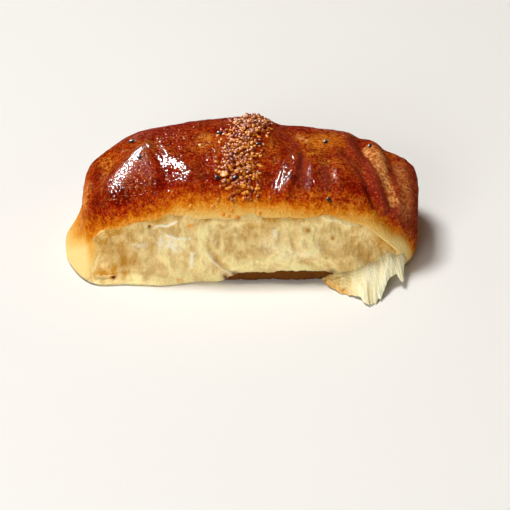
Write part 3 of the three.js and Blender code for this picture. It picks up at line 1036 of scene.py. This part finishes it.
@dataclass
class CrumbFace:
    """The torn crumb along the front: a slab with a finely pitted face that reaches under the skin's edge."""

    loaf: LoafForm
    finish: TornCrumb
    steps: tuple[int, int] = (430, 104)
    around: float = 1.42
    top: float = 0.62
    thickness: float = 7.0
    relief: float = 0.9
    tuck: float = 4.6
    tuck_band: float = 0.8
    beyond: float = 1.6
    settle_below: float = 6.0
    tuft_layer: Unevenness = Unevenness(0.8, (4.2, 4.2, 6.5), 2, 1.3)
    thread_layers: tuple[Unevenness, ...] = (
        Unevenness(0.3, (1.1, 1.4, 3.6), 2, 2.2),
        Unevenness(0.14, 1.2, 1, 7.3),
    )
    web_layer: Unevenness = Unevenness(1.0, (3.0, 3.0, 4.6), 2, 6.7)
    web_height: float = 0.5
    web_level: float = 0.3
    least_relief: float = 0.2
    deepest: float = 1.4
    deeper_above: float = 4.0
    foot_lip: float = 0.7
    foot_waver: Unevenness = Unevenness(0.9, 5.0, 2, 8.4)
    shade_ground: float = 0.22
    shade_patches: float = 0.36
    patch_layer: Unevenness = Unevenness(1.0, (6.5, 6.5, 7.5), 3, 4.4)
    patch_edge: Span = (-0.4, 0.5)
    shade_swell: float = 0.1
    shade_lumps: float = 0.14
    shade_threads: float = 0.35
    left_tan: float = 0.18
    rind_tan: float = 0.25
    rind_depth: float = 3.5
    foot_painted_light: float = 0.18
    film_cover: float = 0.85
    speck_cover: float = 1.4
    back_narrowing: float = 0.97
    creases: tuple[Crease, ...] = (
        Crease(0.8, 1.0, ((-60, 6.4), (-48.5, 5.6), (-43.4, 4.8), (-37.8, 3.9), (-33, 2.5))),
        Crease(1.1, 1.0, ((-10, 31), (-11, 25), (-10.5, 18))),
        Crease(1.5, 0.9, ((-42.5, 26), (-42, 20.5), (-43, 14))),
        Crease(0.55, -1.1, ((-16.5, 15.5), (-14.5, 12), (-12.1, 9.2), (-9.2, 6.3), (-5.8, 4.8), (-1, 3.6))),
        Crease(1.4, 0.9, ((-14.5, 15.5), (-12, 12), (-9.5, 9))),
        Crease(1.5, -1.1, ((-23.5, 15), (-24.5, 9))),
        Crease(4.0, -1.0, ((-38, 20), (-31.5, 18))),
        Crease(0.7, -0.7, ((-42, 25.6), (-39.8, 27.2), (-35, 27.4), (-31, 29.6))),
        Crease(0.7, -0.6, ((-35.5, 23.4), (-31, 21.8), (-24.7, 21.8))),
        Crease(0.8, -1.0, ((38, 31.5), (41.5, 30), (45, 29.5), (50, 27.2), (57, 27.6), (64, 25.2))),
        Crease(1.1, 0.9, ((10, 32), (10.8, 28), (9.8, 22))),
        Crease(0.8, 0.8, ((22, 31), (24, 27), (23.5, 22), (25, 17))),
        Crease(0.9, 0.8, ((-30, 29), (-28.6, 24), (-29.6, 18))),
        Crease(0.9, 0.9, ((33, 30), (36, 26), (35, 21))),
    )
    tufts: tuple[Swell, ...] = (
        Swell(16.2, 23, 2.4, 2.6, 1.3),
        Swell(43.7, 30.6, 2.4, 1.5, 0.7),
        Swell(19, 14, 4, 3, 0.8),
        Swell(33, 15, 5, 4, 0.8),
        Swell(-3, 13, 4, 4, 0.8),
        Swell(-49, 18.2, 2.5, 1.8, 0.8),
        Swell(-20, 26, 4, 3, 0.7),
        Swell(49, 14, 4, 4, 0.7),
    )
    films: tuple[Crease, ...] = (
        Crease(1.5, -0.9, ((-23.5, 15), (-24.5, 9))),
        Crease(3.4, -0.75, ((-38, 20), (-31.5, 18))),
        Crease(0.6, -0.8, ((-16.5, 15.5), (-14.5, 12), (-12.1, 9.2), (-9.2, 6.3), (-5.8, 4.8), (-1, 3.6))),
        Crease(0.8, -0.8, ((-42, 25.6), (-39.8, 27.2), (-35, 27.4), (-31, 29.6))),
        Crease(0.8, -0.7, ((-35.5, 23.4), (-31, 21.8), (-24.7, 21.8))),
        Crease(0.7, -0.45, ((38, 31.5), (41.5, 30), (45, 29.5), (50, 27.2), (57, 27.6), (64, 25.2))),
        Crease(2.0, -0.6, ((-51, 18), (-47, 18.4))),
        Crease(2.0, -0.6, ((15.5, 24), (17, 22))),
        Crease(4.0, -0.4, ((12, 17), (22, 14), (36, 15))),
    )
    # Painted shade in hollows and pits and at the left foot, and a few tan patches.
    hollows: tuple[Swell, ...] = (
        Swell(3, 22, 6, 4.5, 0.42),
        Swell(-58, 18.6, 6, 5, 0.1),
        Swell(-57, 10.5, 7, 4, 0.1),
        Swell(-66, 4, 14, 4, 0.15),
        Swell(31.5, 24.7, 1.3, 1.1, 0.9),
        Swell(43.7, 20.9, 1.2, 1.5, 0.9),
        Swell(54.8, 19.4, 2, 3, 0.6),
        Swell(62, 14.5, 11, 4.5, 0.24),
        Swell(-64, 22, 9, 7, 0.35),
        Swell(-64, 5, 10, 4, 0.42),
        Swell(-70, 7, 6, 5, 0.38),
        Swell(-42, 20, 2.5, 7, 0.35),
        Swell(-12, 13, 3, 3.5, 0.35),
        Swell(-9.5, 27, 2.2, 5, 0.3),
    )
    stains: tuple[Swell, ...] = (Swell(-24.5, 27.5, 3.2, 1.6, 0.9), Swell(-30, 1.5, 2.2, 1.2, 0.7))
    specks: tuple[Swell, ...] = (
        Swell(-44.3, 26.6, 0.7, 1.1, 0.8),
        Swell(-62.3, 4.3, 1.1, 1.1, 1.0),
        Swell(-2.2, 5.0, 3.2, 0.9, 0.7),
        Swell(-8, 3.2, 1.6, 0.8, 0.7),
        Swell(41, 5.2, 4.0, 1.0, 0.8),
    )

    def build(self) -> bpy.types.Object:
        """Makes the crumb slab.

        Returns:
            The piece.
        """
        shape = bmesh.new()
        bmesh.ops.create_grid(shape, x_segments=self.steps[0], y_segments=self.steps[1], size=1.0)
        flat = coordinates(shape)
        along = flat[:, 0] * self.around
        cube = np.column_stack([
            np.clip(along, -1, 1), -1 + np.maximum(np.abs(along) - 1, 0), mix(-1.0, self.top, (flat[:, 1] + 1) / 2),
        ])
        p = self.loaf.plain(cube)
        move_to(shape, p)
        normal = normals(shape)
        if normal[len(normal) // 2, 1] > 0:
            bmesh.ops.reverse_faces(shape, faces=shape.faces)
            normal = normals(shape)
        x, z, up = p[:, 0], p[:, 2], self.loaf.oblique(p)
        swell = stacked(self.loaf.crumb_swells + self.creases + self.tufts, x, up)
        threads = sum(layer.at(p) for layer in self.thread_layers)
        web = self.web_height * (self.web_level - np.abs(self.web_layer.at(p)))
        lumpy = self.relief * self.loaf.crumb(p) + self.tuft_layer.at(p) + web
        inside = smooth(0, self.settle_below, self.loaf.tear_edge(x) - z)
        relief = (swell + lumpy - self.loaf.tear_step) * mix(self.least_relief, 1.0, inside) + threads
        relief = np.maximum(relief, -self.deepest - self.deeper_above * smooth(4, 14, z)) * smooth(-1, 5, z)
        torn = self.loaf.torn_share(p, normal, self.tuck_band, self.beyond)
        relief = relief + self.foot_lip * (1 - smooth(0, 4, z)) - self.tuck * (1 - torn)
        self.paint(shape, p, self.shade_swell * swell + self.shade_lumps * lumpy + self.shade_threads * threads)
        done = self.loaf.settle(p, normal, relief)
        waver = self.foot_waver.at(np.column_stack([x, x * 0, x * 0])) * (1 - smooth(0, 10, z))
        done[:, 2] = np.maximum(done[:, 2] + waver * smooth(0.5, 2.5, done[:, 2]), 0)
        move_to(shape, done)
        self.close(shape)
        return finished("roll_crumb", shape, self.finish.make(), self.loaf.shift_y)

    def paint(self, shape: bmesh.types.BMesh, p: np.ndarray, light: np.ndarray) -> None:
        """Writes the layers that the finish reads.

        Args:
            shape: The crumb's bmesh.
            p: The plain loaf's points, as rows of x, y and z.
            light: How much lighter each point is painted because it stands out, as painted light.
        """
        x, z, up = p[:, 0], p[:, 2], self.loaf.oblique(p)
        # Painted light and shade over the crumb's own tan patches: lighter where it stands out, darker in the hollows,
        # and lighter towards the foot as painted light from the table.
        shade = self.shade_ground + self.shade_patches * smooth(*self.patch_edge, self.patch_layer.at(p)) - light
        shade = shade + self.left_tan * smooth(-38, -58, x) * smooth(3, 7, z) * smooth(26, 18, z)
        shade = shade + self.rind_tan * (1 - smooth(0, self.rind_depth, self.loaf.tear_edge(x) - z))
        hollows = ragged(stacked(self.hollows, x, up), p, 3.5, 5.5)
        write_layer(shape, "hollow", shade + hollows - self.foot_painted_light * smooth(14, 2, z))
        write_layer(shape, "film_and_sheen", self.film_cover * ragged(stacked(self.films, x, up), p, 1.8, 1.7))
        write_layer(shape, "stain", ragged(stacked(self.stains, x, up), p, 2.0, 3.3))
        write_layer(shape, "speck", self.speck_cover * stacked(self.specks, x, up))

    def close(self, shape: bmesh.types.BMesh) -> None:
        """Gives the crumb's face a side wall and a back, so that it is a closed slab.

        Args:
            shape: The crumb's bmesh, which has the face alone so far.
        """
        rim = [edge for edge in shape.edges if edge.is_boundary]
        made = bmesh.ops.extrude_edge_only(shape, edges=rim)["geom"]
        behind = [item for item in made if isinstance(item, bmesh.types.BMVert)]
        bmesh.ops.translate(shape, verts=behind, vec=(0, self.thickness, 0))
        for vert in behind:
            vert.co.x *= self.back_narrowing
        back = [edge for edge in shape.edges if edge.is_boundary]
        bmesh.ops.contextual_create(shape, geom=back)
        bmesh.ops.triangulate(shape, faces=[face for face in shape.faces if len(face.verts) > 4])


@dataclass
class TornSkin:
    """The thin pale skin that hangs from the foot of the torn face at the right and droops to the table."""

    loaf: LoafForm
    finish: TornCrumb
    thickness: float = 0.6
    pleat_count: float = 11.0
    fibre_count: float = 60.0
    steps: tuple[int, int] = (220, 90)
    arch: float = 2.2
    sway: float = 0.5
    sway_rate: float = 19.0
    rim_waver: float = 0.07
    rim_rate: float = 34.0
    pleats: Unevenness = Unevenness(0.5, 1.0, 2, 0.4)
    fibres: Unevenness = Unevenness(1.0, 1.0, 2, 5.1)
    fibre_height: float = 0.12
    fibre_stretch: float = 1.6
    grain: Unevenness = Unevenness(0.12, 1.5, 2, 6.0)
    crumples: tuple[Unevenness, ...] = (Unevenness(0.8, (3.0, 1.6, 2.0), 2, 3.1), Unevenness(0.3, 1.0, 2, 8.8))
    flaky_until: Span = (45, 60)
    rest_gap: float = 0.1
    root: tuple[tuple[float, float, float], ...] = (
        (42, -35, 3), (52, -35.5, 5), (61, -34, 8), (70, -30, 11), (76, -22, 11),
    )
    rim: tuple[tuple[float, float, float], ...] = (
        (39, -42, 1.4), (41, -47, 1.2), (48, -53, 1.2), (55, -57.5, 2.2), (59.4, -64.2, 1.3), (61.6, -62.4, 1.0),
        (66.5, -58, 2.2), (69.5, -50, 4.6), (74, -46, 6.2), (77.5, -48, 4.6), (79, -36, 9),
    )

    @staticmethod
    def along(points: Sequence[Sequence[float]], share: float) -> Vector:
        """Follows a smooth curve through points.

        Args:
            points: The points, in order.
            share: How far along them, from 0 to 1.

        Returns:
            The curve's point there.
        """
        place = share * (len(points) - 1)
        index = min(int(place), len(points) - 2)
        t = place - index
        a, b, c, d = (Vector(points[min(max(index + k, 0), len(points) - 1)]) for k in (-1, 0, 1, 2))
        return 0.5 * (2 * b + (c - a) * t + (2 * a - 5 * b + 4 * c - d) * t * t + (3 * b - a - 3 * c + d) * t**3)

    def middle(self, u: float, v: float) -> Vector:
        """Lays out the skin's middle surface.

        Args:
            u: How far along the tear, from 0 to 1.
            v: How far from its root to its rim, from 0 to 1.

        Returns:
            The surface's point there.
        """
        reach = v * (1 + self.rim_waver * noise.fractal((u * self.rim_rate, 0, 3.5), 1.0, 2.0, 3))
        p = self.along(self.root, u).lerp(self.along(self.rim, u), reach)
        p.z += self.arch * math.sin(math.pi * v) * (0.4 + u) + self.sway * v * math.sin(u * self.sway_rate)
        return p

    def build(self) -> bpy.types.Object:
        """Makes the torn skin.

        Returns:
            The piece.
        """
        shape = bmesh.new()
        bmesh.ops.create_grid(shape, x_segments=self.steps[0], y_segments=self.steps[1], size=1.0)
        flat = (coordinates(shape) + 1) / 2
        p = np.array([self.middle(u, v)[:] for u, v, _ in flat.tolist()])
        move_to(shape, p)
        normal = normals(shape)
        if normal[:, 2].mean() < 0:
            bmesh.ops.reverse_faces(shape, faces=shape.faces)
            normal = normals(shape)
        v = flat[:, 1]
        fan = np.column_stack([flat[:, 0] * self.pleat_count, v * self.fibre_stretch, np.zeros(len(v))])
        fibres = self.fibres.at(fan * (self.fibre_count / self.pleat_count, self.fibre_stretch, 1.0))
        pleats = self.pleats.at(fan) + self.fibre_height * fibres + self.grain.at(p)
        flaky = 1 - smooth(*self.flaky_until, p[:, 0])
        crumple = flaky * sum(layer.at(p) for layer in self.crumples)
        p = p + normal * ((pleats + crumple) * smooth(0, 0.3, v))[:, None]
        p[:, 2] = np.maximum(p[:, 2], self.thickness + self.rest_gap)
        move_to(shape, p)
        # Painted light and shade: the skin is painted lighter and whiter on its pleats and crumples and darker at its
        # root under the crumb; the flaky part is tanner.
        shade = 0.18 - 0.35 * pleats - 0.12 * fibres + flaky * (0.38 - 0.5 * crumple) + 0.35 * (1 - smooth(0, 0.22, v))
        write_layer(shape, "hollow", shade)
        write_layer(shape, "film_and_sheen", (0.38 + 0.35 * pleats + 0.18 * fibres) * (1 - flaky) * smooth(0.05, 0.3, v))
        write_layer(shape, "stain", 0.45 * flaky * smooth(0.7, 1.0, v))
        write_layer(shape, "speck", np.zeros(len(p)))
        bmesh.ops.solidify(shape, geom=shape.faces[:], thickness=self.thickness)
        bmesh.ops.recalc_face_normals(shape, faces=shape.faces)
        return finished("torn_skin", shape, self.finish.make(), self.loaf.shift_y)


@dataclass(frozen=True)
class SeedShape:
    """The size of one kind of seed: a flat drop, narrower at one end."""

    length: float
    width: float
    thickness: float
    taper: float

    def model(self) -> bpy.types.Mesh:
        """Makes one seed of this kind.

        Returns:
            Its mesh, with its middle at the origin and its length along X.
        """
        shape = bmesh.new()
        bmesh.ops.create_uvsphere(shape, u_segments=8, v_segments=6, radius=0.5)
        for vert in shape.verts:
            x, y, z = vert.co.z, vert.co.x, vert.co.y
            girth = 1.12 - self.taper * float(smooth(-0.5, 0.5, x))
            vert.co = (x * self.length, y * girth * self.width, z * girth * self.thickness)
        shape.verts.layers.float.new("tone")
        mesh = bpy.data.meshes.new("seed")
        shape.to_mesh(mesh)
        shape.free()
        return mesh


@dataclass
class SeedHeap:
    """A growing mesh of many seeds of one kind."""

    seed: bpy.types.Mesh
    shape: bmesh.types.BMesh = field(default_factory=bmesh.new)

    def add(self, place: Matrix, tone: float) -> None:
        """Adds one seed.

        Args:
            place: Where the seed's middle goes and how it is turned.
            tone: The seed's shade from 0 to 1.
        """
        seed = self.seed.copy()
        seed.transform(place)
        seed.attributes["tone"].data.foreach_set("value", [tone] * len(seed.vertices))
        self.shape.from_mesh(seed)
        bpy.data.meshes.remove(seed)


@dataclass
class Seeds:
    """The seeds strewn over the crown before baking: sesame in a band, and a few dark nigella seeds."""

    loaf: LoafForm
    surface: BVHTree
    core_height: float = 14.0
    sesame_count: int = 720
    band_share: float = 0.96
    band_arc: Span = (45, 120)
    fringe_arc: Span = (38, 46)
    band_middle: Span = (-0.5, 6.0)
    band_turn: Span = (0.35, 0.85)
    band_spread: float = 4.7
    band_edge: float = 11.0
    touching: float = 1.1
    sunk: float = 0.2
    heap_step: float = 0.4
    lean: float = 0.2
    heap_lean: float = 0.15
    sesame: SeedShape = SeedShape(2.3, 1.7, 1.15, 0.35)
    flake: SeedShape = SeedShape(4.6, 4.2, 0.7, 0.2)
    nigella: SeedShape = SeedShape(3.2, 2.1, 1.7, 0.35)
    nigella_proud: float = 0.6
    nigella_lean: float = 0.25
    sesame_coat: SeedCoat = SeedCoat(
        "toasted_sesame", ((0.0, "#762204"), (0.5, "#B85608"), (1.0, "#EC9A2C")), 0.45, 0.2
    )
    nigella_coat: SeedCoat = SeedCoat("nigella_coat", ((0.0, "#0E0B0B"), (1.0, "#2A1E1C")), 0.42)
    nigella_spots: Line = (
        (-52.4, 69.4), (-11.2, 51.4), (-2.4, 51.4), (1.5, 57.7), (3.5, 56), (41.2, 68.4), (62.6, 66), (42.7, 40.3),
        (8.7, 67.4), (-10, 73), (-49, 62),
    )
    flake_spot: tuple[float, float] = (-8.2, 53.4)
    flake_lie: tuple[float, float, float] = (0.6, 0.6, 0.25)
    flake_tone: float = 0.95
    straggler_lean: float = 0.1
    straggler_tone: float = 0.9
    stragglers: Line = (
        (-11, 72), (-19.5, 67.5), (-14, 37.8), (-6, 33), (-2, 32.5), (11, 32), (9, 34), (-9, 34), (-24.5, 38),
        (-4.5, 35.5),
    )

    def drop(self, start: Vector, way: Vector) -> tuple[Vector, Vector]:
        """Finds where a ray meets the crust.

        Args:
            start: Where the ray starts.
            way: The way that it goes.

        Returns:
            The place, and the way that the crust faces there.
        """
        point, facing, _, _ = self.surface.ray_cast(start, way.normalized())
        if point is None:
            raise ValueError(f"no crust is met from {start} along {way}")
        return point, facing

    def spot(self, x: float, up: float) -> tuple[Vector, Vector]:
        """Finds the place on the crust that the viewer sees at a mark.

        Args:
            x: The mark's place along the roll, on the plane through the front foot that faces the viewer.
            up: The mark's height up that plane.

        Returns:
            The place, and the way that the crust faces there.
        """
        foot = Vector((0, -self.loaf.depth / 2, 0))
        sight = Vector(self.loaf.sight)
        rise = Vector((0, math.sin(self.loaf.sight_tilt), math.cos(self.loaf.sight_tilt)))
        eye = foot + sight * EYE_DISTANCE
        return self.drop(eye, foot + Vector((x, 0, 0)) + rise * up - eye)

    @staticmethod
    def lay(point: Vector, facing: Vector, proud: float, turn: float, tilt: float) -> Matrix:
        """Places a seed on a surface.

        Args:
            point: Where the surface is met.
            facing: The way that it faces.
            proud: How far the seed's middle stands above it.
            turn: The seed's turn about the facing.
            tilt: How far the seed leans out of the surface.

        Returns:
            The seed's place.
        """
        lie = facing.to_track_quat("Z", "X")
        spin = Quaternion((0, 0, 1), turn) @ Quaternion((0, 1, 0), tilt)
        return Matrix.Translation(point + facing * proud) @ (lie @ spin).to_matrix().to_4x4()

    def build(self) -> list[bpy.types.Object]:
        """Makes the seeds.

        Returns:
            The sesame piece and the nigella piece.
        """
        draw = random.Random(RANDOM_SEED)
        sesame = SeedHeap(self.sesame.model())
        laid: list[Vector] = []
        for _ in range(self.sesame_count):
            share = draw.random()
            band = draw.random() < self.band_share
            around = math.radians(mix(*self.band_arc, share) if band else draw.uniform(*self.fringe_arc))
            aside = draw.gauss(0, self.band_spread)
            middle = mix(*self.band_middle, float(smooth(*self.band_turn, share)))
            way = Vector((0, -math.cos(around), math.sin(around)))
            core = Vector((middle + max(-self.band_edge, min(self.band_edge, aside)), 0, self.core_height))
            point, facing = self.drop(core + way * self.loaf.depth, -way)
            near = sum((point - other).length < self.touching for other in laid)
            laid.append(point)
            proud = self.sunk + self.heap_step * min(near, 3)
            tilt = draw.gauss(0, self.lean + self.heap_lean * min(near, 2))
            place = self.lay(point, facing, proud, draw.uniform(0, 2 * math.pi), tilt)
            sesame.add(place, draw.random())
        for x, up in self.stragglers:
            point, facing = self.spot(x, up)
            place = self.lay(point, facing, self.sunk, draw.uniform(0, 2 * math.pi), self.straggler_lean)
            sesame.add(place, self.straggler_tone)
        sesame.seed = self.flake.model()
        sesame.add(self.lay(*self.spot(*self.flake_spot), *self.flake_lie), self.flake_tone)
        nigella = SeedHeap(self.nigella.model())
        for x, up in self.nigella_spots:
            point, facing = self.spot(x, up)
            turn, tilt = draw.uniform(0, 2 * math.pi), draw.gauss(0, self.nigella_lean)
            nigella.add(self.lay(point, facing, self.nigella_proud, turn, tilt), draw.random())
        return [
            finished("sesame_seeds", sesame.shape, self.sesame_coat.make(), self.loaf.shift_y),
            finished("nigella_seeds", nigella.shape, self.nigella_coat.make(), self.loaf.shift_y),
        ]


@dataclass(frozen=True)
class Softbox:
    """A soft light that faces the roll: where it stands in metres, how large it is and its power in watts."""

    name: str
    way: tuple[float, float, float]
    distance: float
    size: tuple[float, float]
    power: float
    in_glints: bool = False

    def build(self) -> None:
        """Adds the light. It shows either in the glints alone, or everywhere but in them."""
        lamp = bpy.data.lights.new(self.name, "AREA")
        lamp.shape = "RECTANGLE"
        lamp.size, lamp.size_y = self.size
        lamp.energy = self.power
        light = bpy.data.objects.new(self.name, lamp)
        aim = Vector(self.way).normalized()
        light.location = aim * self.distance
        light.rotation_mode = "QUATERNION"
        light.rotation_quaternion = aim.to_track_quat("Z", "Y")
        light.visible_glossy, light.visible_diffuse = self.in_glints, not self.in_glints
        bpy.context.scene.collection.objects.link(light)


@dataclass
class Studio:
    """The camera, the pale floor and the soft lights."""

    loaf: LoafForm
    picture: float = 510.0
    foot_at: tuple[float, float] = (242.0, 284.0)
    millimetres_per_pixel: float = 0.485
    roll: float = math.radians(0.6)
    sensor: float = 36.0
    floor_colour: str = "#F5F4F0"
    floor_size: float = 6.0
    room_colour: str = "#F4D8B0"
    room_strength: float = 0.1
    lights: tuple[Softbox, ...] = (
        Softbox("key", (-0.37, 0.1, 0.92), 2.6, (0.8, 0.85), 57.0),
        Softbox("front_fill", (-0.38, -0.85, 0.38), 2.2, (1.1, 0.9), 21.0),
        Softbox("glint", (-0.4, 0.26, 0.87), 1.5, (0.26, 0.26), 75.0, in_glints=True),
        Softbox("back_glint", (-0.5, 0.68, 0.52), 1.5, (0.3, 0.3), 82.0, in_glints=True),
    )

    def camera(self) -> None:
        """Adds the camera: it stands where the photograph was taken from, and the front foot shows at foot_at."""
        back = Vector(self.loaf.sight)
        right, up = Vector((1, 0, 0)), back.cross(Vector((1, 0, 0)))
        c, s = math.cos(self.roll), math.sin(self.roll)
        right, up = c * right - s * up, s * right + c * up
        focal = EYE_DISTANCE / self.millimetres_per_pixel
        aside, down = (value - self.picture / 2 for value in self.foot_at)
        look = (-back - right * (aside / focal) + up * (down / focal)).normalized()
        right = (right - look * right.dot(look)).normalized()
        up = right.cross(look)
        foot = Vector((0, -self.loaf.depth / 2 + self.loaf.shift_y, 0))
        lens = bpy.data.cameras.new("camera")
        lens.sensor_width = self.sensor
        lens.lens = self.sensor * focal / self.picture
        lens.clip_start, lens.clip_end = 0.01, 20
        camera = bpy.data.objects.new("camera", lens)
        turn = Matrix((right, up, -look)).transposed().to_4x4()
        camera.matrix_world = Matrix.Translation((foot + back * EYE_DISTANCE) * MM) @ turn
        bpy.context.scene.collection.objects.link(camera)
        bpy.context.scene.camera = camera

    def floor(self) -> None:
        """Adds the pale floor."""
        shape = bmesh.new()
        bmesh.ops.create_grid(shape, x_segments=1, y_segments=1, size=self.floor_size / 2)
        mesh = bpy.data.meshes.new("floor")
        shape.to_mesh(mesh)
        shape.free()
        material, _, shader = fresh_material("matt_white_board")
        shader.inputs["Base Color"].default_value = linear(self.floor_colour)
        shader.inputs["Roughness"].default_value = 0.9
        shader.inputs["Specular IOR Level"].default_value = 0.0
        mesh.materials.append(material)
        floor = bpy.data.objects.new("floor", mesh)
        bpy.context.scene.collection.objects.link(floor)

    def build(self) -> None:
        """Sets up everything that isn't the roll."""
        self.camera()
        self.floor()
        for light in self.lights:
            light.build()
        world = bpy.data.worlds.new("world")
        world.use_nodes = True
        background = world.node_tree.nodes["Background"]
        background.inputs["Color"].default_value = linear(self.room_colour)
        background.inputs["Strength"].default_value = self.room_strength
        bpy.context.scene.world = world
        bpy.context.scene.view_settings.view_transform = "Standard"


def main() -> None:
    """Builds the roll piece by piece."""
    logging.basicConfig(level=logging.INFO, format="%(name)s: %(message)s")
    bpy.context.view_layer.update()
    loaf = LoafForm()
    Studio(loaf).build()
    _, surface = Crust(loaf, EggWashedCrust()).build()
    crumb = TornCrumb()
    CrumbFace(loaf, crumb).build()
    TornSkin(loaf, crumb).build()
    Seeds(loaf, surface).build()


if __name__ == "__main__":
    main()
